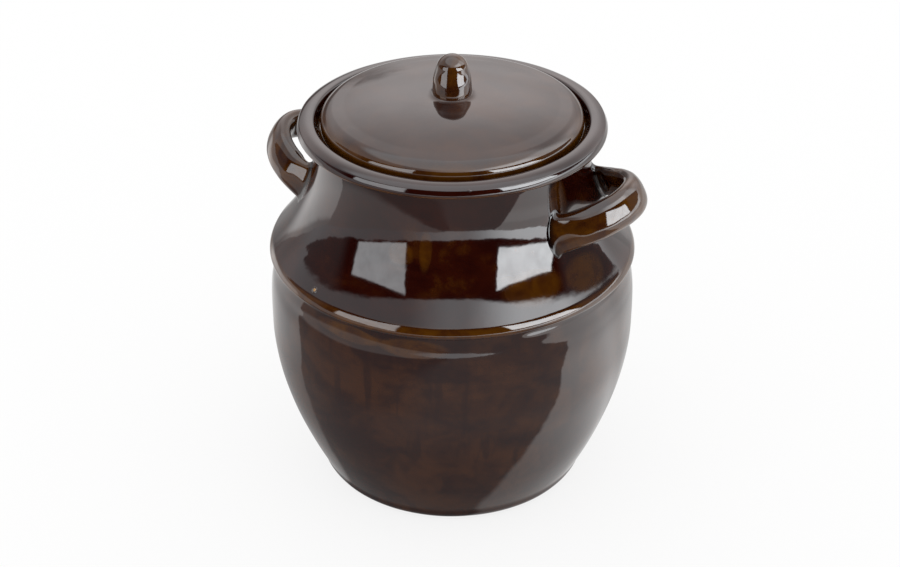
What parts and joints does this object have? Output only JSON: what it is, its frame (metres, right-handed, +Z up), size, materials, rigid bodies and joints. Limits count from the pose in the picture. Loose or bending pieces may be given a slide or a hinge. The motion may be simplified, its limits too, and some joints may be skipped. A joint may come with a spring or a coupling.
{
  "type": "fermentation crock",
  "caption": "Brown glazed stoneware fermentation crock: bellied jar with a raised ridge, flared shoulder, loop handles, a knobbed lid sunk in the rim and half-moon weights.",
  "frame": {"origin": "centre of the foot ring, on the surface that the crock stands on", "axes": "+Z up along the crock's turning axis, +X through the right-hand handle, -Y towards the front"},
  "size_m": [0.2744, 0.2524, 0.3098],
  "materials": {
    "crock_glaze": "glossy dark brown glaze that runs to amber where it is thin",
    "lid_glaze": "glossy dark brown glaze that runs to amber where it is thin",
    "weight_clay": "bare matt fired clay"
  },
  "bodies": {
    "crock": {"crock_body": "crock_glaze", "handle_left": "crock_glaze", "handle_right": "crock_glaze"},
    "lid": {"lid": "lid_glaze", "lid_knob": "lid_glaze"},
    "left_weight": {"weight_left": "weight_clay"},
    "right_weight": {"weight_right": "weight_clay"}
  },
  "joints": [
    {"name": "lid_lift", "type": "slide", "parent": "crock", "child": "lid", "axis": [0, 0, 1], "range_m": [0, 0.15]},
    {"name": "left_weight_lift", "type": "slide", "parent": "crock", "child": "left_weight", "axis": [0, 0, 1], "range_m": [0, 0.23]},
    {"name": "right_weight_lift", "type": "slide", "parent": "crock", "child": "right_weight", "axis": [0, 0, 1], "range_m": [0, 0.23]}
  ]
}
